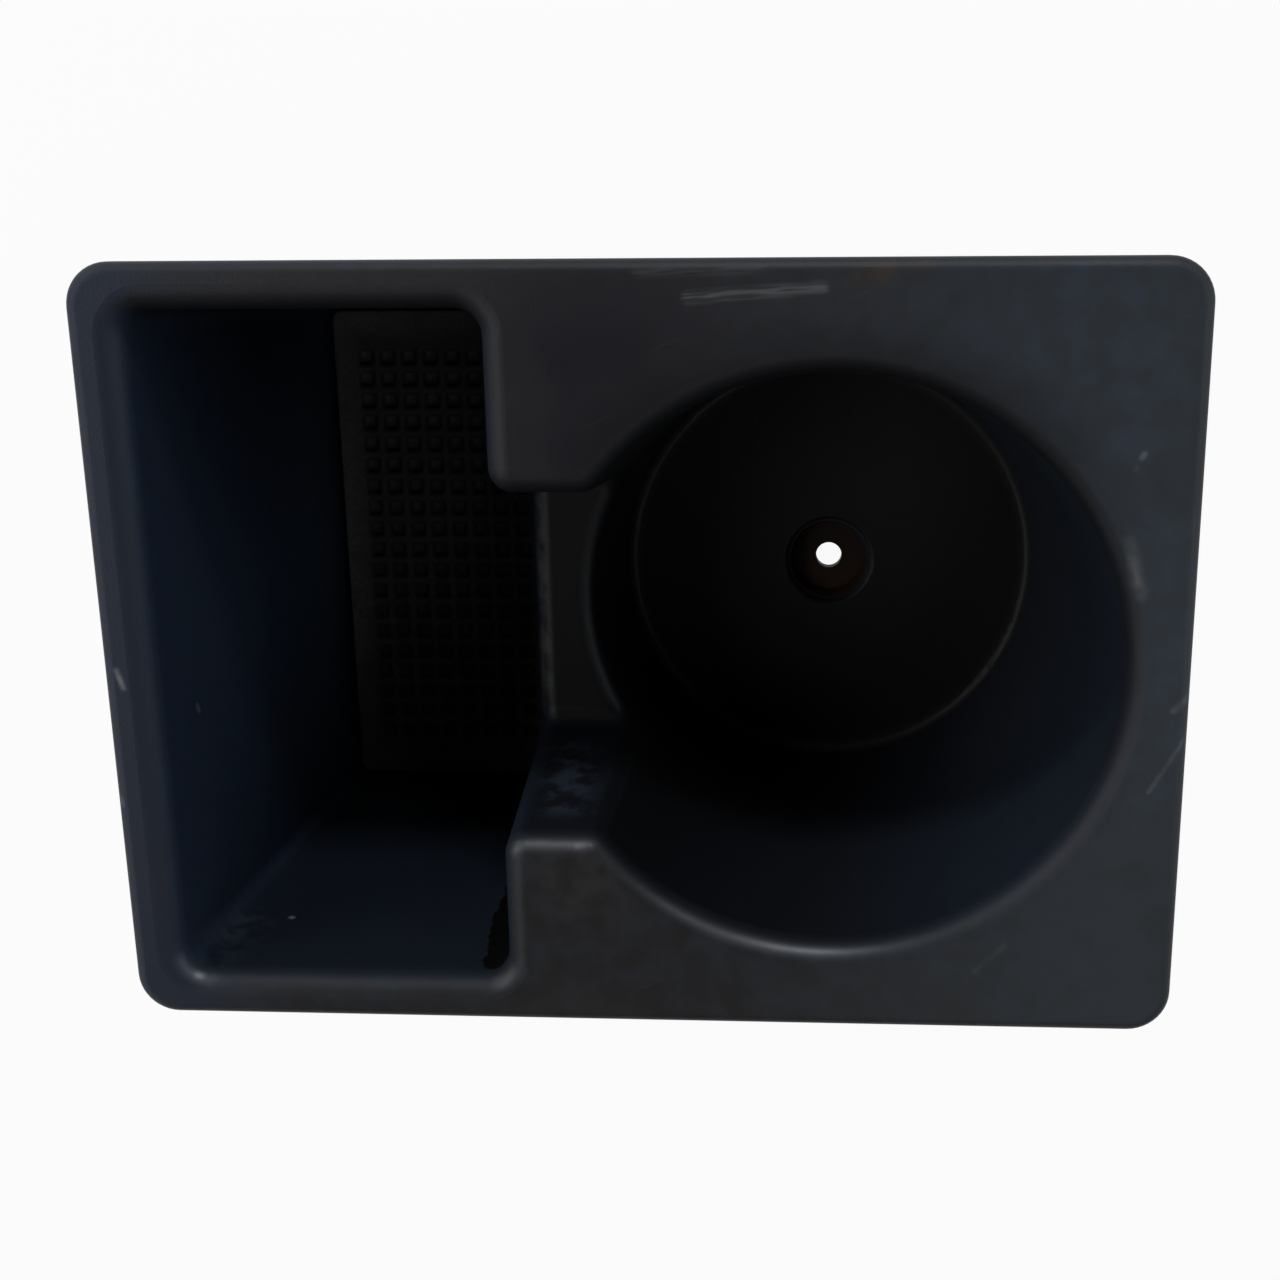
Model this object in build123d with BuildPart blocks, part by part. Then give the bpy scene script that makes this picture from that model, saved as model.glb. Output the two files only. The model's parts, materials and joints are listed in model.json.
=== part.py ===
"""A car cup holder: a moulded console tray with a cup well, a pocket and a handle notch, and a rubber mat.

Millimetres, +Z up. The pocket is at -X and the cup well at +X. The origin lies in the middle of the plate's
outline, on the plane that the tray stands on.
"""

import os
from math import radians, sqrt, tan

from build123d import *

# The plate, a flange that lies on the console
plate_width = 151.2
plate_depth = 108.6
plate_thickness = 3.0
plate_corner = 6.0
plate_edge_round = 1.8

# The moulding: one wall, and one rounding for the lips, the lugs and the saddle
wall = 2.5
soft_edge = 3.4

# The cup well, measured at the plate
cup_diameter = 81.6
cup_depth = 81.0
cup_draft = 2.6
cup_rim = 8.3
cup_offset = -1.2
cup_floor_round = 1.5
cup_foot_round = 3.0

# The sunk seat for the fixing screw, in the middle of the cup's floor
seat_diameter = 15.0
seat_depth = 5.0
seat_draft = 12.0
seat_rim_round = 1.3
screw_hole_diameter = 4.8

# The pocket, measured at the plate: its wall beside the cup leans in more than the other three
pocket_width = 48.7
pocket_side_rim = 7.0
pocket_end_rim = 6.2
pocket_draft = 2.0
pocket_inner_draft = 3.2
pocket_corner = 3.8
pocket_floor_corner = 1.6
pocket_floor_round = 0.5
pocket_foot_round = 1.5

# The notch between pocket and cup, and the saddle at its foot
notch_width = 49.6
notch_depth = 46.0
notch_draft = 4.2

# The rubber mat in the pocket
mat_thickness = 2.5
mat_clearance = 0.6
mat_corner = 2.0
mat_side_border = 4.6
mat_end_border = 6.4
pit_pitch = 4.0
pit_size = 2.4
pit_depth = 1.2

# Levels, and how far from its level a face is still found
level_reach = 0.01
tray_height = cup_depth + seat_depth + wall
saddle_level = tray_height - notch_depth
cup_floor_level = tray_height - cup_depth
seat_level = cup_floor_level - seat_depth
pocket_floor_level = wall
pocket_depth = tray_height - pocket_floor_level

# Places in plan
cup_radius = cup_diameter / 2
cup_x = plate_width / 2 - cup_rim - cup_radius
cup_y = cup_offset
pocket_length = plate_depth - 2 * pocket_end_rim
pocket_left = -plate_width / 2 + pocket_side_rim
pocket_right = pocket_left + pocket_width
pocket_x = (pocket_left + pocket_right) / 2
notch_back = cup_y + notch_width / 2
notch_front = cup_y - notch_width / 2
lug_tip = cup_x - sqrt(cup_radius**2 - (notch_width / 2) ** 2)


def drawn_in(depth, draft):
    """How far a drafted wall has come in at this depth below the plate."""
    return depth * tan(radians(draft))


def pocket_sides(depth):
    """Where the pocket's left and right walls stand at this depth below the plate."""
    left = pocket_left + drawn_in(depth, pocket_draft)
    right = pocket_right - drawn_in(depth, pocket_inner_draft)
    return left, right


def pocket_outline(depth, corner, growth):
    """The pocket's outline at this depth below the plate, grown outwards by a wall or not at all."""
    left, right = pocket_sides(depth)
    length = pocket_length - 2 * drawn_in(depth, pocket_draft)
    with BuildSketch(Plane.XY.offset(tray_height - depth)) as outline:
        with Locations(((left + right) / 2, 0)):
            RectangleRounded(right - left + 2 * growth, length + 2 * growth, corner + growth)
    return outline.sketch


def notch_outline(growth):
    """The notch's outline at the plate, from the middle of the pocket to the middle of the cup."""
    with BuildSketch(Plane.XY.offset(tray_height)) as outline:
        with Locations(((pocket_x + cup_x) / 2, cup_y)):
            Rectangle(cup_x - pocket_x, notch_width + 2 * growth)
    return outline.sketch


def flat_faces(part, level):
    """The level faces of a part at this height."""
    level_ones = part.faces().filter_by(Plane.XY)
    return level_ones.filter_by_position(Axis.Z, level - level_reach, level + level_reach)


with BuildPart() as console_tray:
    # The plate
    with BuildSketch(Plane.XY.offset(tray_height)):
        RectangleRounded(plate_width, plate_depth, plate_corner)
    extrude(amount=-plate_thickness)
    fillet(console_tray.faces().sort_by(Axis.Z)[-1].edges(), radius=plate_edge_round)

    # The outside of the walls
    loft([pocket_outline(0, pocket_corner, wall), pocket_outline(tray_height, pocket_floor_corner, wall)])
    fillet(flat_faces(console_tray, 0)[0].edges(), radius=pocket_foot_round)
    with Locations((cup_x, cup_y, cup_floor_level - wall)):
        Cone(
            bottom_radius=cup_radius + wall - drawn_in(cup_depth + wall, cup_draft),
            top_radius=cup_radius + wall,
            height=cup_depth + wall,
            align=(Align.CENTER, Align.CENTER, Align.MIN),
        )
    fillet(flat_faces(console_tray, cup_floor_level - wall)[0].edges(), radius=cup_foot_round)
    extrude(notch_outline(wall), amount=-(notch_depth + wall), taper=notch_draft)
    with Locations((cup_x, cup_y, 0)):
        Cone(
            bottom_radius=seat_diameter / 2 + wall - drawn_in(cup_floor_level, seat_draft),
            top_radius=seat_diameter / 2 + wall,
            height=cup_floor_level,
            align=(Align.CENTER, Align.CENTER, Align.MIN),
        )

    # The pocket, the cup well and the notch between them
    loft(
        [pocket_outline(0, pocket_corner, 0), pocket_outline(pocket_depth, pocket_floor_corner, 0)],
        mode=Mode.SUBTRACT,
    )
    with Locations((cup_x, cup_y, cup_floor_level)):
        Cone(
            bottom_radius=cup_radius - drawn_in(cup_depth, cup_draft),
            top_radius=cup_radius,
            height=cup_depth,
            align=(Align.CENTER, Align.CENTER, Align.MIN),
            mode=Mode.SUBTRACT,
        )
    extrude(notch_outline(0), amount=-notch_depth, taper=notch_draft, mode=Mode.SUBTRACT)

    # Soft edges round the mouth, down the lugs and round the saddle
    lips = console_tray.faces().sort_by(Axis.Z)[-1].inner_wires()[0].edges()
    saddle_edges = flat_faces(console_tray, saddle_level)[0].edges()
    lug_corners = (
        console_tray.edges()
        .filter_by_position(Axis.Z, saddle_level + soft_edge, tray_height - soft_edge)
        .filter_by_position(Axis.Y, notch_front, notch_back)
        .filter_by_position(
            Axis.X,
            pocket_sides(notch_depth)[1],
            lug_tip + drawn_in(notch_depth, cup_draft),
        )
    )
    fillet(lips + saddle_edges + lug_corners, radius=soft_edge)

    # Rounded feet of the walls inside
    fillet(flat_faces(console_tray, cup_floor_level)[0].edges(), radius=cup_floor_round)
    fillet(flat_faces(console_tray, pocket_floor_level)[0].edges(), radius=pocket_floor_round)

    # The sunk screw seat and its hole
    with Locations((cup_x, cup_y, seat_level)):
        Cone(
            bottom_radius=seat_diameter / 2 - drawn_in(seat_depth, seat_draft),
            top_radius=seat_diameter / 2,
            height=seat_depth,
            align=(Align.CENTER, Align.CENTER, Align.MIN),
            mode=Mode.SUBTRACT,
        )
        Hole(radius=screw_hole_diameter / 2, depth=wall)
    fillet(flat_faces(console_tray, cup_floor_level)[0].inner_wires()[0].edges(), radius=seat_rim_round)

console_tray.part.label = "console_tray"

# The mat follows the pocket's floor, and its pits fill what the borders leave
floor_left, floor_right = pocket_sides(pocket_depth)
mat_x = (floor_left + floor_right) / 2
mat_width = floor_right - floor_left - 2 * mat_clearance
mat_length = pocket_length - 2 * (drawn_in(pocket_depth, pocket_draft) + mat_clearance)
mat_top = pocket_floor_level + mat_thickness
pit_columns = 1 + int((mat_width - 2 * mat_side_border - pit_size) / pit_pitch)
pit_rows = 1 + int((mat_length - 2 * mat_end_border - pit_size) / pit_pitch)

with BuildPart() as pocket_mat:
    with BuildSketch(Plane.XY.offset(pocket_floor_level)):
        with Locations((mat_x, 0)):
            RectangleRounded(mat_width, mat_length, mat_corner)
    extrude(amount=mat_thickness)
    with BuildSketch(Plane.XY.offset(mat_top)):
        with Locations((mat_x, 0)):
            with GridLocations(pit_pitch, pit_pitch, pit_columns, pit_rows):
                Rectangle(pit_size, pit_size)
    extrude(amount=-pit_depth, mode=Mode.SUBTRACT)

pocket_mat.part.label = "pocket_mat"

os.makedirs("parts", exist_ok=True)
export_step(console_tray.part, "parts/console_tray.step")
export_step(pocket_mat.part, "parts/pocket_mat.step")
print(f"tray {plate_width} x {plate_depth} x {tray_height} mm, mat {mat_width:.1f} x {mat_length:.1f} mm")
cup_floor_diameter = cup_diameter - 2 * drawn_in(cup_depth, cup_draft)
print(f"cup floor {cup_floor_diameter:.1f} mm, {pit_columns} x {pit_rows} pits")
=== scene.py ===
# %% [markdown]
# # A car cup holder
#
# The real thing is an insert for a car's console. It is one charcoal moulding with a cup well, a pocket
# and a notch for a mug's handle, and a loose rubber mat lies on the pocket's floor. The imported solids
# already have the right shape, so the moulding's mesh is left alone. This lesson adds what a plain solid
# lacks: a camera at the photograph's angle, soft light, a soft mat, and finishes that look moulded,
# handled and a little dusty.

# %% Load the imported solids
import json
from functools import reduce
from math import cos, radians, sin

import bpy
import numpy as np
from mathutils import Matrix, Vector


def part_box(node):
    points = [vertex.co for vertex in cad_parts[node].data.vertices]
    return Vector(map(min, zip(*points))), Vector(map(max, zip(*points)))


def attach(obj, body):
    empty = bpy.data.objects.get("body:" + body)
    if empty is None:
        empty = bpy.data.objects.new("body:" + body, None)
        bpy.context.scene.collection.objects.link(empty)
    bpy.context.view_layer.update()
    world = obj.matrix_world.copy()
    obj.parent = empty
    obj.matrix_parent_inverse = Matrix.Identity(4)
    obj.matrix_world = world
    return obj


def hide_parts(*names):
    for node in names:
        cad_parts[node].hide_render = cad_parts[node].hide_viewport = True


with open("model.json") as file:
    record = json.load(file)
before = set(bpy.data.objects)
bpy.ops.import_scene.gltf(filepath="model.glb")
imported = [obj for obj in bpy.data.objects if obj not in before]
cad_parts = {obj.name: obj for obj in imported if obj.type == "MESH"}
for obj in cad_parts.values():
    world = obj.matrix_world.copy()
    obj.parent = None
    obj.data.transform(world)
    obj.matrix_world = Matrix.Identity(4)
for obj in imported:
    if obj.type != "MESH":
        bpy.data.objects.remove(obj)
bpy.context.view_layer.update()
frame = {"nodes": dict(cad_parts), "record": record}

tray = frame["nodes"]["console_tray"]
tray_low, tray_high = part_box("console_tray")
mat_low, mat_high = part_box("pocket_mat")
screw_hole = next(mount for mount in frame["record"]["mounts"] if mount["name"] == "screw_hole")
print("tray from", tuple(tray_low), "to", tuple(tray_high), "metres, with a hole at", screw_hole["pos_m"])

# %% [markdown]
# ## The camera
#
# The picture was taken by hand from above, leaning a little towards the front edge. A camera with no turn
# at all looks straight down, so three small turns describe the pose: a tilt about X, a pan about Y and a
# roll about Z. The object isn't centred in the frame, and a shift of the lens moves it there without
# turning the camera.

# %% Camera
camera_place = (0.025648, 0.056574, 0.300178)
tilt, pan, roll = 0.253, 0.0543, 0.0074
shift_across, shift_up = -0.0754, 0.0097
lens, sensor = 45.0, 36.0
nearest_seen = 0.01

camera_data = bpy.data.cameras.new("camera")
camera_data.sensor_fit = "HORIZONTAL"
camera_data.sensor_width = sensor
camera_data.lens = lens
camera_data.shift_x = shift_across
camera_data.shift_y = shift_up
camera_data.clip_start = nearest_seen
camera = bpy.data.objects.new("camera", camera_data)
bpy.context.scene.collection.objects.link(camera)
turns = Matrix.Rotation(-tilt, 4, "X") @ Matrix.Rotation(pan, 4, "Y") @ Matrix.Rotation(roll, 4, "Z")
camera.matrix_world = Matrix.Translation(camera_place) @ turns
bpy.context.scene.camera = camera
bpy.context.scene.view_settings.view_transform = "Standard"
print("camera at", camera_place, "with a lens of", lens, "mm")

# %% [markdown]
# ## Numbers that vary over a surface
#
# A finish is a sum of masks: worn here, dusty there. Such sums are easy to read as Python and hard to
# read as a row of nodes. So one small class wraps a socket, and each operator on it adds a Math node.

# %% A number on a surface


class Value:
    """A number that varies over a surface. Python's operators on it add Math nodes."""

    def __init__(self, finish, socket):
        self.finish = finish
        self.socket = socket

    def math(self, operation, *terms):
        """The Math node of this name on the terms."""
        made = self.finish.node("Math", {"operation": operation}, dict(enumerate(terms)))
        return Value(self.finish, made.outputs[0])

    def __add__(self, other):
        return self.math("ADD", self, other)

    def __radd__(self, other):
        return self.math("ADD", other, self)

    def __sub__(self, other):
        return self.math("SUBTRACT", self, other)

    def __rsub__(self, other):
        return self.math("SUBTRACT", other, self)

    def __mul__(self, other):
        return self.math("MULTIPLY", self, other)

    def __rmul__(self, other):
        return self.math("MULTIPLY", other, self)

    def __abs__(self):
        return self.math("ABSOLUTE", self)

    def root(self):
        """Square root."""
        return self.math("SQRT", self)

    def least(self, other):
        """The smaller of two values."""
        return self.math("MINIMUM", self, other)

    def most(self, other):
        """The larger of two values."""
        return self.math("MAXIMUM", self, other)

    def step(self, start, end):
        """A smooth step: 0 at start and before it, 1 at end and past it. Start may be the larger."""
        sockets = {"Value": self, "From Min": start, "From Max": end}
        made = self.finish.node("MapRange", {"interpolation_type": "SMOOTHSTEP"}, sockets)
        return Value(self.finish, made.outputs[0])

    def lifted(self, bottom):
        """The mask with its 0 lifted to this value, and its 1 left at 1."""
        return bottom + (1.0 - bottom) * self


def strongest(masks):
    """The largest of several masks, point by point."""
    return reduce(Value.most, masks)


print("operators ready")

# %% [markdown]
# ## Finishes
#
# A second class holds the nodes of one material. It has one method that adds any node, and a few that
# name what a finish needs here: a place in millimetres, cloudy noise, drawn-out noise, short strokes, and
# one colour over another.

# %% A finish
to_mm = 1000.0


class Finish:
    """The nodes of a material or of the world, while they are being made."""

    shine = 0.3
    polish_roughness = 0.40

    def __init__(self, owner):
        owner.use_nodes = True
        self.owner = owner
        self.tree = owner.node_tree
        self.tree.nodes.clear()

    def node(self, kind, settings=None, sockets=None):
        """Adds a node, makes its settings, then fills or links its sockets."""
        made = self.tree.nodes.new("ShaderNode" + kind)
        for key, setting in (settings or {}).items():
            setattr(made, key, setting)
        for key, given in (sockets or {}).items():
            if isinstance(given, Value):
                given = given.socket
            if isinstance(given, bpy.types.NodeSocket):
                self.tree.links.new(given, made.inputs[key])
            else:
                made.inputs[key].default_value = given
        return made

    def vector(self, operation, *terms):
        """The Vector Math node of this name on the terms."""
        return self.node("VectorMath", {"operation": operation}, dict(enumerate(terms)))

    def millimetres(self):
        """The point on the object, in millimetres."""
        point = self.node("TexCoord").outputs["Object"]
        return self.vector("MULTIPLY", point, (to_mm, to_mm, to_mm)).outputs[0]

    def parts(self, vector):
        """The three numbers of a vector."""
        made = self.node("SeparateXYZ", sockets={0: vector})
        return [Value(self, socket) for socket in made.outputs]

    def noise(self, vector, size, detail=2.0, roughness=0.5):
        """Cloudy noise from 0 to 1 with spots of about this size."""
        sockets = {"Vector": vector, "Scale": 1.0 / size, "Detail": detail, "Roughness": roughness}
        return Value(self, self.node("TexNoise", sockets=sockets).outputs["Fac"])

    def streaks(self, vector, heading, sizes):
        """Noise drawn out to these sizes along X, Y and Z, then turned in plan by a heading in degrees."""
        sockets = {"Vector": vector, "Rotation": (0.0, 0.0, radians(heading)), "Scale": sizes}
        turned = self.node("Mapping", {"vector_type": "TEXTURE"}, sockets)
        return self.noise(turned.outputs[0], 1.0, detail=1.0)

    def stroke(self, vector, start, end, width, fray=0.0):
        """1 on a line and 0 past its width: a step of the distance to the line's nearest point.

        The fray widens and narrows the line, as a share of its width."""
        run = Vector(end) - Vector(start)
        offset = self.vector("SUBTRACT", vector, start).outputs[0]
        along = Value(self, self.vector("DOT_PRODUCT", offset, run.normalized()).outputs["Value"])
        along = along.most(0.0).least(run.length)
        reach = self.node("VectorMath", {"operation": "SCALE"}, {0: run.normalized(), "Scale": along})
        away = Value(self, self.vector("DISTANCE", offset, reach.outputs[0]).outputs["Value"])
        return (away + fray * width).step(width, 0.0)

    def strokes(self, vector, rows):
        """The strongest of several strokes. A row is a start, an end, a width and a strength."""
        return strongest(self.stroke(vector, *line) * strength for *line, strength in rows)

    def tint(self, mask, below, above, strength=1.0):
        """The colour below where the mask is 0. Where it is 1, the colour above covers it by the strength."""
        sockets = {0: mask * strength, 6: below, 7: above}
        return self.node("Mix", {"data_type": "RGBA"}, sockets).outputs[2]

    def relief(self, height):
        """The normal of a surface with this height in millimetres."""
        sockets = {"Height": height, "Strength": 1.0, "Distance": 1.0 / to_mm}
        return self.node("Bump", sockets=sockets).outputs[0]

    def plastic(self, colour, roughness, normal, polish=0.0):
        """A plastic or rubber surface, with a polished skin where it has been rubbed."""
        base = {"Base Color": colour, "Roughness": roughness, "Normal": normal}
        skin = {"Coat Weight": polish, "Coat Roughness": self.polish_roughness}
        sockets = base | skin | {"Specular IOR Level": self.shine}
        return self.node("BsdfPrincipled", sockets=sockets).outputs[0]

    def close(self, surface, kind="OutputMaterial"):
        """Ends the material, or the world, with this surface."""
        self.node(kind, sockets={"Surface": surface})
        return self.owner


def rgb(red, green, blue):
    """A colour with full alpha."""
    return (red, green, blue, 1.0)


print("finish helpers ready")

# %% [markdown]
# ## Where things are on the tray
#
# Wear follows the shape: lips are rubbed, floors are dusty. The shader knows a point and the way its
# surface faces. That is enough to tell the parts of this moulding apart. A rounded edge near the plate is
# a lip where it faces the middle of the plate, and the outer rim where it faces away. The inside is told
# by depth, by side and by distance from the axis of the cup. A mask is a smooth step between two places
# in millimetres, or between two values of a normal or of noise.

# %% Masks on the tray
plate_top = tray_high.z * to_mm
cup_x, cup_y = screw_hole["pos_m"][0] * to_mm, screw_hole["pos_m"][1] * to_mm
cup_floor_level, cup_floor_radius, cup_mouth = 7.5, 37.1, 40.8
facing_up, facing_aside = 0.995, 0.85
edge_depth, wall_depth = 3.0, 5.0

charcoal = Finish(bpy.data.materials.new("tray_charcoal"))
spot = charcoal.millimetres()
x, y, z = charcoal.parts(spot)
facing_x, facing_y, facing_z = charcoal.parts(charcoal.node("NewGeometry").outputs["Normal"])
depth = plate_top - z


def axis_distance(middle_x, middle_y):
    """Distance to an upright axis: the root of the sum of two squares."""
    across, along = x - middle_x, y - middle_y
    return (across * across + along * along).root()


from_cup_axis = axis_distance(cup_x, cup_y)
turned = facing_z.step(facing_up, facing_aside) * depth.step(wall_depth, edge_depth)
faces_away = (facing_x * x + facing_y * y).step(0.0, 20.0)
rim = turned * faces_away
lip = turned - rim
front_lip = lip * facing_y.step(0.0, 0.5) * y.step(-20.0, -28.0)
in_pocket = x.step(-19.0, -24.0)
print("cup axis at", round(cup_x, 2), round(cup_y, 2), "mm, masks made of", len(charcoal.tree.nodes), "nodes")

# %% [markdown]
# ## Charcoal plastic
#
# The walls inside are a deep blue black, partly the plastic's own tone and partly painted light, the bluish
# daylight that falls on them from the sides, and their level faces are a neutral black. One flat colour would
# be quicker, but the eye notices at once when a big dark moulding has no clouds, so every colour here is
# broken by noise of two sizes. The plate is a second plastic over the first: a Mix Shader skips the nodes of
# the side that isn't seen, so the picture takes less time than with one long row of colours.

# %% Clouds in the plastic
cloud_size, mottle_size = 22.0, 4.0
clouds = charcoal.noise(spot, cloud_size)
mottle = charcoal.noise(spot, mottle_size, detail=3.0, roughness=0.6)
blotch = mottle.step(0.30, 0.70)
uneven = 0.6 + 0.8 * mottle
patchy = 0.7 + 0.6 * mottle


def mottled(first, second):
    """Two shades of one colour, broken by the blotches."""
    return charcoal.tint(blotch, first, second)


print("clouds of", cloud_size, "mm and mottles of", mottle_size, "mm")

# %% [markdown]
# The walls come first. In the cup, walls that face right get a painted shade, and its right side gets a
# painted light, paler and bluer where light from the left falls on it. The pocket is bluer, and its left wall
# is painted paler where light from the right falls on it. Both grow paler with depth, which stands in for
# light that bounces about in a deep well.

# %% Colours of the walls
bright_black, shaded_black = rgb(0.0060, 0.0067, 0.0094), rgb(0.0036, 0.0040, 0.0050)
high_side_light, low_side_light = rgb(0.0135, 0.0188, 0.0283), rgb(0.0310, 0.0370, 0.0510)
pocket_foot = rgb(0.0250, 0.0390, 0.0570)

# Walls that face right take the darker black, a painted shade. The cup's right side takes a painted light.
inside = charcoal.tint(facing_x.step(0.0, 0.8), bright_black, shaded_black)
lit_right_side = (1.0 - in_pocket) * facing_x.step(0.2, -0.9)
side_light_colour = charcoal.tint(depth.step(25.0, 70.0), high_side_light, low_side_light)
inside = charcoal.tint(lit_right_side * uneven, inside, side_light_colour)
# The pocket's left wall is painted paler and bluer than its front wall: a painted light.
pocket_front = mottled(rgb(0.0114, 0.0130, 0.0208), rgb(0.0100, 0.0150, 0.0224))
pocket_left_lit = mottled(rgb(0.0180, 0.0222, 0.0410), rgb(0.0158, 0.0265, 0.0410))
pocket_blue_and_light = charcoal.tint(facing_x.step(0.3, 0.9), pocket_front, pocket_left_lit)
pocket_blue_and_light = charcoal.tint(depth.step(48.0, 80.0), pocket_blue_and_light, pocket_foot, strength=0.7)
inside = charcoal.tint(in_pocket, inside, pocket_blue_and_light)
print("walls use", len(charcoal.tree.nodes), "nodes so far")

# %% [markdown]
# Dust greys the level faces. The right of the cup's floor is painted paler still, a painted light where light
# from the left falls on it. A pale painted highlight runs round the rounded foot of the cup's wall. The lips
# at the back and on the right take a darker black of their own, a painted shade that dims the light on them.

# %% Colours of the floors and the dull lips
level_black, floor_grey = rgb(0.0054, 0.0051, 0.0050), rgb(0.0205, 0.0196, 0.0195)
foot_highlight_grey = rgb(0.0420, 0.0390, 0.0370)
side_lip_shade, back_lip_shade = rgb(0.0125, 0.0128, 0.0170), rgb(0.0070, 0.0068, 0.0070)
foot_radius = cup_floor_radius - 0.5
lip_shading = 0.85

level = facing_z.step(0.7, 0.98) * depth.step(8.0, 12.0)
inside = charcoal.tint(level, inside, level_black)
cup_low = z.step(cup_floor_level + 2.5, cup_floor_level + 1.0)
# Dust, and on the right of the cup's floor a painted light.
floor_dust_and_light = level * cup_low * uneven * (0.10 + 1.4 * x.step(10.0, 60.0))
inside = charcoal.tint(floor_dust_and_light, inside, floor_grey)
# A painted highlight on the rounded foot of the cup's wall.
cup_foot_highlight = cup_low * abs(from_cup_axis - foot_radius).step(2.4, 0.6)
inside = charcoal.tint(cup_foot_highlight, inside, foot_highlight_grey, strength=0.8)
# A painted shade that dims the lit lips at the back and on the right.
lip_shade_colour = charcoal.tint(facing_y.step(0.0, -0.8), side_lip_shade, back_lip_shade)
shaded_lip = lip * facing_y.step(0.8, 0.0) * facing_x.step(0.6, -0.1)
inside = charcoal.tint(shaded_lip, inside, lip_shade_colour, strength=lip_shading)
print("with the floors", len(charcoal.tree.nodes), "nodes")

# %% [markdown]
# The plate is painted paler and bluer towards the right, a painted light where more light falls, and is bluer
# along the left edge. It is darker on the back lug, where a painted dark reflection lies, and behind the cup,
# where a painted shade lies.

# %% Colours of the plate
back_grey, front_grey = rgb(0.0300, 0.0280, 0.0300), rgb(0.0345, 0.0388, 0.0422)
left_blue, cloud_brown = rgb(0.0205, 0.0258, 0.0410), rgb(0.0270, 0.0260, 0.0235)
lug_reflection, cup_back_shade = rgb(0.0120, 0.0108, 0.0150), rgb(0.0090, 0.0082, 0.0085)
worn_grey = rgb(0.0460, 0.0440, 0.0560)

plate = mottled(rgb(0.0160, 0.0150, 0.0152), rgb(0.0228, 0.0230, 0.0266))
plate = charcoal.tint(y.step(38.0, 48.0), plate, back_grey, strength=0.6)
# Paler and bluer towards the right: a painted light.
right_light_colour = mottled(rgb(0.0362, 0.0418, 0.0475), rgb(0.0410, 0.0512, 0.0642))
right_light_colour = charcoal.tint(y.step(5.0, -50.0), right_light_colour, front_grey, strength=0.6)
plate = charcoal.tint(x.step(0.0, 78.0) * (0.8 + 0.4 * clouds), plate, right_light_colour)
plate = charcoal.tint(x.step(-50.0, -72.0), plate, left_blue)
# A painted dark reflection on the back lug.
lug_shade = axis_distance(-6.0, 30.0).step(30.0, 8.0)
plate = charcoal.tint(lug_shade * patchy, plate, lug_reflection)
plate = charcoal.tint(clouds.step(0.50, 0.75), plate, cloud_brown, strength=0.5)
# A painted shade on the plate behind the cup's back lip.
back_shade = (from_cup_axis - cup_mouth).step(9.0, 1.0) * y.step(12.0, 36.0)
plate = charcoal.tint(back_shade, plate, cup_back_shade, strength=0.6)
# The same painted shade on the flat side of those lips.
plate = charcoal.tint(shaded_lip, plate, lip_shade_colour, strength=lip_shading)
worn_lip = lip * x.step(50.0, 64.0) * y.step(18.0, 2.0) * blotch.lifted(0.5)
plate = charcoal.tint(worn_lip, plate, worn_grey, strength=0.35)
print("with the plate", len(charcoal.tree.nodes), "nodes")

# %% [markdown]
# ## Wear, dirt and painted light
#
# Cups rub the lips, keys draw scratches, and a stain sits by the back edge. Fine scratches can be drawn-out
# noise, cut off so that only its peaks show. The few marks that catch the eye are strokes, and a few strokes
# are painted highlights on rounded edges. Each row below is a start, an end, a width and a strength. Strokes
# are measured in space, so they work on the plate and on the walls.

# %% Places of the marks on the plate
scrape_rows = (
    ((7.7, 49.3, plate_top), (25.2, 50.5, plate_top), 1.3, 0.42),
    ((1.0, 52.6, plate_top), (17.0, 52.8, plate_top), 1.2, 0.14),
)
nick_and_glint_rows = (
    ((-73.4, -1.5, plate_top), (-72.7, -4.0, plate_top), 0.7, 1.00),
    ((-74.7, -20.6, 88.2), (-74.6, -21.6, 88.2), 0.6, 0.70),
    ((66.2, 17.4, 87.6), (68.0, 10.2, 88.0), 1.6, 0.60),
    ((66.8, 14.8, 87.8), (67.6, 12.0, 88.0), 1.0, 1.00),
    ((73.4, -5.8, plate_top), (75.2, -4.2, 88.0), 0.9, 0.65),
    ((70.6, -17.6, plate_top), (75.0, -10.0, 88.2), 0.6, 0.40),
    ((47.6, -45.0, plate_top), (51.6, -41.0, plate_top), 0.8, 0.15),
    ((67.1, 28.6, plate_top), (67.4, 29.0, plate_top), 0.7, 0.55),
    ((66.4, 26.9, plate_top), (66.6, 27.3, plate_top), 0.6, 0.20),
    # These two rows are painted highlights on the front lug's back edge.
    ((-9.1, -26.9, 87.8), (-8.5, -26.8, 87.8), 0.9, 1.00),
    ((-16.4, -26.6, 87.3), (-13.6, -26.5, 87.2), 0.9, 0.45),
)
stain_rows = (
    ((30.8, 52.0, plate_top), (33.0, 53.2, plate_top), 3.4, 1.00),
    ((36.8, 53.4, plate_top), (38.4, 53.6, plate_top), 1.8, 1.00),
)
print(len(scrape_rows), "scrapes,", len(nick_and_glint_rows), "nicks and", len(stain_rows), "stains")

# %% [markdown]
# The rows become masks. Each kind of mark is broken by noise, and then each mask lays its colour over the
# plate.

# %% Marks on the plate
dirt_brown, stain_brown = rgb(0.0330, 0.0300, 0.0250), rgb(0.0560, 0.0390, 0.0250)
rim_grey, hairline_grey = rgb(0.0300, 0.0310, 0.0350), rgb(0.1200, 0.1200, 0.1220)
bare_and_glint_grey = rgb(0.1800, 0.1780, 0.1720)

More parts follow.
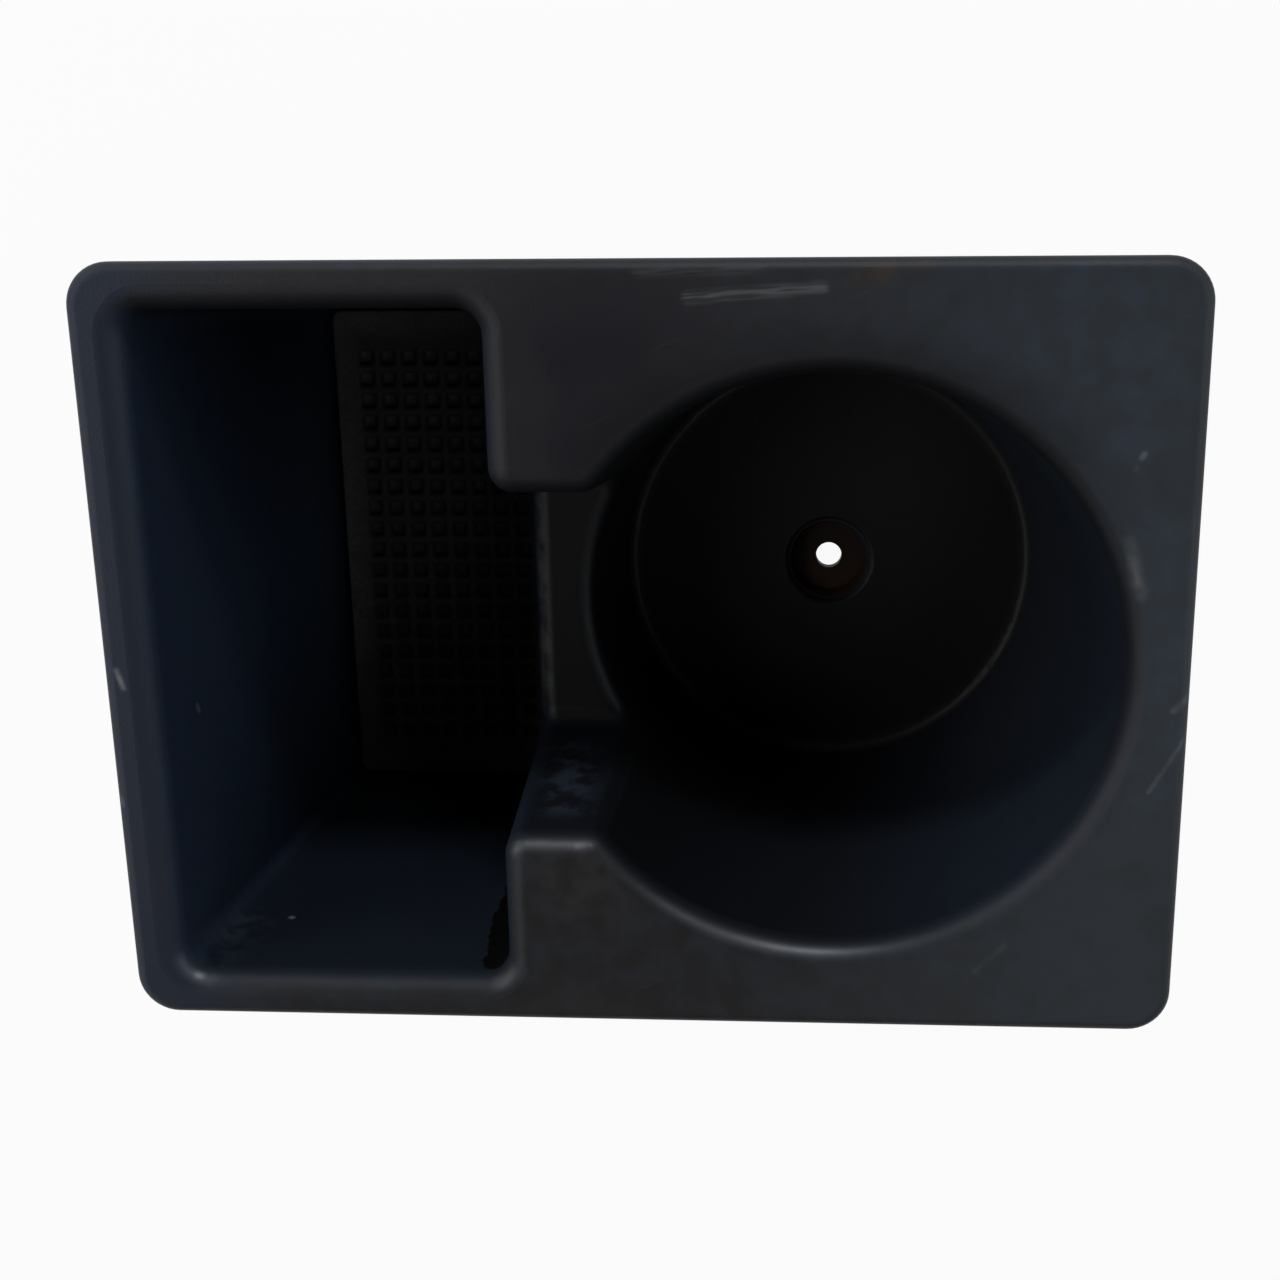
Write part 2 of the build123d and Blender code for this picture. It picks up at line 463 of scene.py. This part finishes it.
drawn_out = charcoal.streaks(spot, 4.0, (5.0, 0.5, 0.5))
scrape = charcoal.strokes(spot, scrape_rows) * drawn_out.step(0.36, 0.60).lifted(0.25)
nick_and_glint = charcoal.strokes(spot, nick_and_glint_rows) * blotch.lifted(0.3)
hairlines = charcoal.streaks(spot, 24.0, (14.0, 0.30, 0.30)).step(0.68, 0.80) * clouds.step(0.40, 0.62)
stain = charcoal.strokes(spot, stain_rows)
lug_dirt = axis_distance(-8.5, -32.0).step(10.0, 2.0)

plate = charcoal.tint(rim * blotch * clouds.step(0.40, 0.60), plate, rim_grey, strength=0.6)
plate = charcoal.tint(lug_dirt * blotch, plate, dirt_brown, strength=0.6)
plate = charcoal.tint(stain * blotch, plate, stain_brown)
plate = charcoal.tint(hairlines, plate, hairline_grey, strength=0.10)
# Bare grey in the scrapes and nicks, and painted highlights on the lug's edge.
plate = charcoal.tint(scrape.most(nick_and_glint), plate, bare_and_glint_grey)
print("with the marks on the plate", len(charcoal.tree.nodes), "nodes")

# %% [markdown]
# Inside, two pale smears that are partly painted light, a painted shadow of the front lug in the pocket's
# corner, a few specks and a painted highlight along the saddle's left edge lie on the walls, and the screw
# seat has rusted. The painted shadow is frayed by noise and thins out downwards.

# %% Marks inside
rust, sheen_blue = rgb(0.0560, 0.0270, 0.0130), rgb(0.0240, 0.0310, 0.0420)
lug_shadow_black = rgb(0.0015, 0.0015, 0.0015)
# Pale blue smears, partly painted light: a painted reflection on the notch's front wall, and at the pocket's
# front left corner a paler patch that hides where two walls' shading meets.
smear_and_sheen_rows = (
    ((-12.5, -24.8, 76.0), (-15.0, -23.6, 54.0), 7.0, 1.00),
    ((-66.5, -46.8, 82.0), (-65.0, -46.6, 70.0), 7.0, 1.00),
)
speck_rows = (
    ((-58.5, -47.4, 68.5), (-58.4, -47.4, 68.6), 0.8, 1.00),
    ((-68.1, -10.7, 74.5), (-68.1, -11.5, 74.0), 0.9, 0.30),
)
# A painted highlight along the saddle's left edge.
saddle_glint_rows = (((-21.4, 16.5, 41.8), (-21.0, -19.8, 42.0), 2.0, 0.45),)
lug_shadow_top, lug_shadow_foot, lug_shadow_width = (-22.4, -47.8, 83.0), (-26.2, -47.0, 56.0), 2.8

smear_and_sheen = charcoal.strokes(spot, smear_and_sheen_rows) * mottle.step(0.42, 0.62)
specks_and_glint = charcoal.strokes(spot, speck_rows).most(charcoal.strokes(spot, saddle_glint_rows) * blotch)
# A painted shadow of the front lug on the pocket's front wall.
lug_shadow = charcoal.stroke(spot, lug_shadow_top, lug_shadow_foot, lug_shadow_width, fray=mottle - 0.5)
lug_shadow = (lug_shadow - 0.6 * z.step(78.0, 57.0)).step(0.05, 0.25)
seat = from_cup_axis.step(8.6, 6.6) * z.step(cup_floor_level, cup_floor_level - 1.4)

inside = charcoal.tint(seat * y.step(3.0, -7.0).lifted(0.4), inside, rust)
inside = charcoal.tint(smear_and_sheen, inside, sheen_blue)
inside = charcoal.tint(lug_shadow, inside, lug_shadow_black)
inside = charcoal.tint(specks_and_glint, inside, bare_and_glint_grey)
print("with the marks inside", len(charcoal.tree.nodes), "nodes")

# %% [markdown]
# The outside of the walls hides in the console. It keeps the plain charcoal of the moulding, drawn with
# fine upright marks where it slid in and out. A wall faces out where it faces away from the middle of its
# own well.

# %% Outside of the walls
drag_grey = rgb(0.0600, 0.0610, 0.0630)
pocket_x = (mat_low.x + mat_high.x) / 2 * to_mm

pocket_side = x.step(-16.8, -17.8)
from_middle = x - cup_x - pocket_side * (pocket_x - cup_x)
faces_out = (facing_x * from_middle + facing_y * (y - cup_y)).step(0.0, 5.0)
outer = faces_out * depth.step(3.2, 5.0)
drag = charcoal.streaks(spot, 0.0, (0.5, 0.5, 22.0)).step(0.60, 0.80) * clouds.step(0.45, 0.65)
outer_colour = mottled(rgb(0.0130, 0.0138, 0.0158), rgb(0.0175, 0.0190, 0.0225))
outer_colour = charcoal.tint(drag, outer_colour, drag_grey, strength=0.25)
wall_colour = charcoal.tint(outer, inside, outer_colour)
print("the wells' middles are at", round(pocket_x, 2), "and", round(cup_x, 2), "mm")

# %% [markdown]
# The moulding has a fine grain everywhere. Edges are a little duller than the flat faces, except the
# front lips, which cups have polished. A polished skin is a thin coat over the plastic.

# %% Shine and relief of the moulding
grain_size, grain_height = 0.35, 0.02
plain_roughness, cloud_roughness, edge_roughness = 0.43, 0.08, 0.12
corner_start, corner_end, corner_width = (-68.0, -47.6, 87.0), (-66.0, -48.2, 87.0), 4.0

normal = charcoal.relief(grain_height * charcoal.noise(spot, grain_size, detail=0.0))
roughness = plain_roughness + cloud_roughness * (clouds - 0.5) + edge_roughness * turned
corner_rub = charcoal.stroke(spot, corner_start, corner_end, corner_width)
cup_rub = x.step(-4.0, 8.0) * x.step(44.0, 15.0) * patchy
lug_rub = x.step(-6.5, -8.5) * (1.0 - in_pocket)
polish = (front_lip * (0.05 + corner_rub + cup_rub + 0.9 * lug_rub)).least(1.0)
wall_roughness = roughness - 0.08 * smear_and_sheen + 0.25 * seat
wall_plastic = charcoal.plastic(wall_colour, wall_roughness, normal, polish)
plate_plastic = charcoal.plastic(plate, roughness + 0.10 * hairlines, normal, polish)
on_plate = depth.step(2.6, 0.5) * facing_z.step(0.5, 0.98)
moulding = charcoal.node("MixShader", sockets={0: on_plate, 1: wall_plastic, 2: plate_plastic})
tray.data.materials.clear()
tray.data.materials.append(charcoal.close(moulding.outputs[0]))
print("charcoal finish has", len(charcoal.tree.nodes), "nodes")

# %% [markdown]
# ## The mat
#
# The mat is a sheet of soft rubber with rows of small square pits. The solid's pits have sharp edges, and
# in moulded rubber every edge is rounded. One way is to bevel the solid. Here the sheet is a height over
# a grid instead, because a pit is then one smooth formula, and grid lines can be gathered where the pit
# walls are steep.

# %% Grid of the mat
pit_columns, pit_rows = 8, 19
pit_pitch, pit_half, pit_soft, pit_depth = 4.0, 1.2, 0.42, 1.2
mat_corner, mat_edge, mat_foot = 2.0, 0.5, 0.3
mat_size = (mat_high - mat_low) * to_mm
mat_middle = (mat_low + mat_high) / 2 * to_mm
inset = mat_corner - mat_edge
slope = np.linspace(pit_half - pit_soft, pit_half + pit_soft, 5)
cell_lines = np.concatenate([-slope[::-1], [0.0], slope, [pit_pitch / 2]])


def pit_middles(count):
    """Middles of a row of pits, evenly spaced about 0."""
    return (np.arange(count) - (count - 1) / 2) * pit_pitch


def grid_lines(count, half):
    """Places of the grid lines along one side: a set for each pit, then the border and the rounded corner."""
    pits = (pit_middles(count)[:, None] + cell_lines[None, :]).ravel()
    border = np.linspace(pits[-1], half - inset, 5)[1:]
    corner = np.linspace(half - inset, half, 6)[1:]
    return np.concatenate([-corner[::-1], -border[::-1], [-pits[-1]], pits, border, corner])


half_u, half_v = mat_size.x / 2 - mat_edge, mat_size.y / 2 - mat_edge
lines_u, lines_v = grid_lines(pit_columns, half_u), grid_lines(pit_rows, half_v)
print("mat grid has", len(lines_u), "by", len(lines_v), "lines")

# %% [markdown]
# The grid now gets its heights: the pits, and a slight swell so that the sheet isn't dead flat. Its
# square corners are bent into rounds.

# %% Sheet of the mat
swell_height, swell_across, swell_along = 0.05, 9.0, 13.0


def pit_row(along, count):
    """1 in the pits and 0 between them: a smooth step of the distance to the nearest pit's middle."""
    away = np.abs(along[:, None] - pit_middles(count)[None, :]).min(axis=1)
    t = np.clip((pit_half + pit_soft - away) / (2 * pit_soft), 0.0, 1.0)
    return t * t * (3.0 - 2.0 * t)


def round_corners(u, v, inner_u, inner_v):
    """Bends each corner square into a quarter disc.

    The longer leg becomes the radius, and the ratio of the legs the angle."""
    a = np.maximum(np.abs(u) - inner_u, 0.0)
    b = np.maximum(np.abs(v) - inner_v, 0.0)
    radius = np.maximum(a, b)
    angle = np.pi / 4 * np.divide(np.minimum(a, b), radius, out=np.zeros_like(radius), where=radius > 0)
    angle = np.where(b > a, np.pi / 2 - angle, angle)
    in_corner = (a > 0) & (b > 0)
    bent_u = np.where(in_corner, np.sign(u) * (inner_u + radius * np.cos(angle)), u)
    bent_v = np.where(in_corner, np.sign(v) * (inner_v + radius * np.sin(angle)), v)
    return bent_u, bent_v


flat_u, flat_v = np.meshgrid(lines_u, lines_v, indexing="ij")
pits = np.outer(pit_row(lines_u, pit_columns), pit_row(lines_v, pit_rows))
swell = swell_height * np.sin(flat_u / swell_across + 0.7) * np.sin(flat_v / swell_along)
sheet_u, sheet_v = round_corners(flat_u, flat_v, half_u - inset, half_v - inset)
sheet_z = mat_size.z - swell_height - pit_depth * pits + swell
sheet = np.stack([sheet_u, sheet_v, sheet_z], axis=-1)
print("mat sheet is", round(2 * half_u, 1), "by", round(2 * half_v, 1), "mm inside its rim")

# %% [markdown]
# The rim of the sheet is carried round the border of that grid as a profile: out over a small round, down
# the side, and in again under a smaller round. A fan closes the flat underside, which lies on the
# pocket's floor.

# %% Rim of the mat
number = np.arange(sheet.shape[0] * sheet.shape[1]).reshape(sheet.shape[:2])
border = np.concatenate([number[:-1, 0], number[-1, :-1], number[:0:-1, -1], number[0, :0:-1]])
points = sheet.reshape(-1, 3)
loop = points[border]
ahead = np.roll(loop, -1, axis=0) - np.roll(loop, 1, axis=0)
outward = np.stack([ahead[:, 1], -ahead[:, 0]], axis=1)
outward /= np.linalg.norm(outward, axis=1, keepdims=True)

turn = np.linspace(0.0, np.pi / 2, 6)
upper_out, upper_drop = mat_edge * np.sin(turn[1:]), mat_edge * (1.0 - np.cos(turn[1:]))
lower_out, lower_rise = mat_edge - mat_foot * (1.0 - np.cos(turn)), mat_foot * (1.0 - np.sin(turn))
ring_out = np.concatenate([upper_out, lower_out])
upper_z = loop[:, 2] - upper_drop[:, None]
lower_z = np.repeat(lower_rise[:, None], len(loop), axis=1)
ring_z = np.concatenate([upper_z, lower_z])
ring_xy = loop[:, :2] + ring_out[:, None, None] * outward
rings = np.concatenate([ring_xy, ring_z[..., None]], axis=-1)
print("mat rim has", len(ring_out), "rings of", len(loop), "points")

# %% [markdown]
# Points and faces are gathered into one mesh, which takes the place of the plain mat and lies where it
# lay.

# %% Mesh of the mat
vertices = np.concatenate([points, rings.reshape(-1, 3), np.zeros((1, 3))])
vertices += np.array([mat_middle.x, mat_middle.y, mat_low.z * to_mm])
ring_rows = len(points) + np.arange(rings.shape[0] * len(border)).reshape(-1, len(border))
here = np.vstack([border, ring_rows])
after = np.roll(here, -1, axis=1)
quads = np.stack([number[:-1, :-1], number[1:, :-1], number[1:, 1:], number[:-1, 1:]], axis=-1).reshape(-1, 4)
sides = np.stack([here[:-1], here[1:], after[1:], after[:-1]], axis=-1).reshape(-1, 4)
fan = np.stack([after[-1], here[-1], np.full(len(border), len(vertices) - 1)], axis=-1)

mat_mesh = bpy.data.meshes.new("rubber_mat")
mat_mesh.from_pydata((vertices / to_mm).tolist(), [], quads.tolist() + sides.tolist() + fan.tolist())
mat_mesh.polygons.foreach_set("use_smooth", np.ones(len(mat_mesh.polygons), bool))
mat_mesh.update()
rubber_mat = bpy.data.objects.new("rubber_mat", mat_mesh)
bpy.context.scene.collection.objects.link(rubber_mat)
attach(rubber_mat, "root")
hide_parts("pocket_mat")
print("mat has", len(mat_mesh.vertices), "points and", len(mat_mesh.polygons), "faces")

# %% [markdown]
# ## Black rubber
#
# Rubber in a car is never clean. Brown grey dust settles on the lands between the pits and gathers along the
# border, while the pits stay clean. The front of the mat is painted paler, in its black and in more dust, and
# the back darker: painted light and shade. Towards the back the pits have a paler grey, a painted light so
# that they don't sink to plain black.

# %% Dusty rubber
front_lit_black, back_shaded_black = rgb(0.0450, 0.0445, 0.0465), rgb(0.0265, 0.0260, 0.0265)
pit_light_grey, dust_brown = rgb(0.0520, 0.0510, 0.0505), rgb(0.1700, 0.1630, 0.1560)
mat_top = mat_high.z * to_mm
bloom_size, powder_size, powder_height = 9.0, 0.8, 0.03
clean_roughness, dusty_roughness = 0.60, 0.25

rubber = Finish(bpy.data.materials.new("mat_rubber_black"))
mat_spot = rubber.millimetres()
mat_x, mat_y, mat_z = rubber.parts(mat_spot)
bloom = rubber.noise(mat_spot, bloom_size, detail=3.0, roughness=0.6)
powder = rubber.noise(mat_spot, powder_size)
side_gap = mat_size.x / 2 - abs(mat_x - mat_middle.x)
end_gap = mat_size.y / 2 - abs(mat_y - mat_middle.y)
border_dust = side_gap.least(end_gap).step(7.0, 1.5)
land = mat_z.step(mat_top - pit_depth, mat_top - 0.2)
# More dust towards the front, and with it a painted light for the front of the mat.
settled_dust_and_light = (0.12 + 0.40 * border_dust + 0.8 * mat_y.step(25.0, -46.0)) * (0.2 + 1.4 * bloom)
dust_and_light = settled_dust_and_light * (0.4 + 1.2 * powder) * land.lifted(0.3)
# Paler black at the front and darker at the back: painted light and shade.
mat_colour = rubber.tint(mat_y.step(-10.0, 40.0), front_lit_black, back_shaded_black)
# A paler grey in the pits towards the back: a painted light against their shade.
mat_colour = rubber.tint((1.0 - land) * mat_y.step(-35.0, 10.0), mat_colour, pit_light_grey)
mat_colour = rubber.tint(dust_and_light, mat_colour, dust_brown)
mat_roughness = clean_roughness + dusty_roughness * dust_and_light
mat_surface = rubber.plastic(mat_colour, mat_roughness, rubber.relief(powder_height * powder))
rubber_mat.data.materials.append(rubber.close(mat_surface))
print("rubber finish has", len(rubber.tree.nodes), "nodes")

# %% [markdown]
# ## The stage
#
# The background is plain white. A white floor under enough light would do it, but that light would also
# wash out a charcoal object. So the floor is a pale matt surface that the camera and reflections see
# mostly as plain white, and it still keeps a little of the object's shadow.

# %% Floor
floor_half, floor_drop = 3.0, 0.0002
floor_pale, pure_white = rgb(0.85, 0.85, 0.85), rgb(1.0, 1.0, 1.0)
floor_whiteness = 0.94
white_rays = ("Is Camera Ray", "Is Glossy Ray", "Is Transmission Ray")

floor_corners = np.array([[-1, -1], [1, -1], [1, 1], [-1, 1]]) * floor_half
floor_points = np.column_stack([floor_corners, np.full(4, tray_low.z - floor_drop)])
floor_mesh = bpy.data.meshes.new("floor")
floor_mesh.from_pydata(floor_points.tolist(), [], [(0, 1, 2, 3)])
floor = bpy.data.objects.new("floor", floor_mesh)
bpy.context.scene.collection.objects.link(floor)

pale_floor = Finish(bpy.data.materials.new("floor_pale"))
path = pale_floor.node("LightPath")
seen = strongest(Value(pale_floor, path.outputs[name]) for name in white_rays) * floor_whiteness
matt = pale_floor.node("BsdfDiffuse", sockets={"Color": floor_pale})
white = pale_floor.node("Emission", sockets={"Color": pure_white, "Strength": 1.0})
shown = pale_floor.node("MixShader", sockets={0: seen, 1: matt.outputs[0], 2: white.outputs[0]})
floor_mesh.materials.append(pale_floor.close(shown.outputs[0]))
print("floor is", 2 * floor_half, "m wide")

# %% [markdown]
# ## The light
#
# Daylight comes from a window behind the object, which draws the soft shadow edges on the front walls,
# and from a pale room around it. Each part of the room is one large soft disc, so that the lips show
# broad highlights and no hard lines. Each row below is an azimuth, an elevation, a size, a power and a
# colour. A disc looks at the middle of the plate.

# %% Softboxes
softboxes = {
    "window": (85.0, 26.5, 0.20, 4.7, (0.92, 1.00, 1.10)),
    "left": (180.0, 36.0, 1.30, 5.2, (0.97, 1.00, 1.05)),
    "back_left": (135.0, 20.0, 0.90, 3.0, (0.99, 1.00, 1.03)),
    "right": (0.0, 23.0, 1.00, 3.4, (0.90, 1.00, 1.12)),
    "back_right": (45.0, 30.0, 0.35, 0.8, (0.96, 1.00, 1.06)),
    "front_left": (225.0, 19.0, 0.80, 1.0, (0.98, 1.00, 1.04)),
    "front": (270.0, 44.0, 0.80, 0.5, (1.06, 1.00, 0.94)),
    "front_right": (315.0, 57.0, 0.80, 0.7, (0.98, 1.00, 1.04)),
}
plate_middle = Vector((0.0, 0.0, tray_high.z))
reach = 1.2
watts = 0.0
for name, (azimuth, elevation, size, power, colour) in softboxes.items():
    lamp = bpy.data.lights.new(name, "AREA")
    lamp.shape = "DISK"
    lamp.size = size
    lamp.energy = power
    lamp.color = colour
    watts += power
    around, up = radians(azimuth), radians(elevation)
    away = Vector((cos(up) * cos(around), cos(up) * sin(around), sin(up)))
    softbox = bpy.data.objects.new(name, lamp)
    bpy.context.scene.collection.objects.link(softbox)
    facing_in = away.to_track_quat("Z", "Y").to_matrix().to_4x4()
    softbox.matrix_world = Matrix.Translation(plate_middle + reach * away) @ facing_in
print(len(softboxes), "softboxes with", round(watts, 1), "watts")

# %% [markdown]
# The room shows past the floor's edge. It is white to the camera and gives no light of its own, because
# light from every side would lift the dark floors of the wells.

# %% Room
room = Finish(bpy.data.worlds.new("room"))
bpy.context.scene.world = room.owner
camera_ray = room.node("LightPath").outputs["Is Camera Ray"]
unlit = room.node("Background", sockets={"Color": rgb(0.0, 0.0, 0.0), "Strength": 0.0})
backdrop = room.node("Background", sockets={"Color": pure_white, "Strength": 1.0})
room_shown = room.node("MixShader", sockets={0: camera_ray, 1: unlit.outputs[0], 2: backdrop.outputs[0]})
room.close(room_shown.outputs[0], "OutputWorld")
print("room is white to the camera and unlit otherwise")
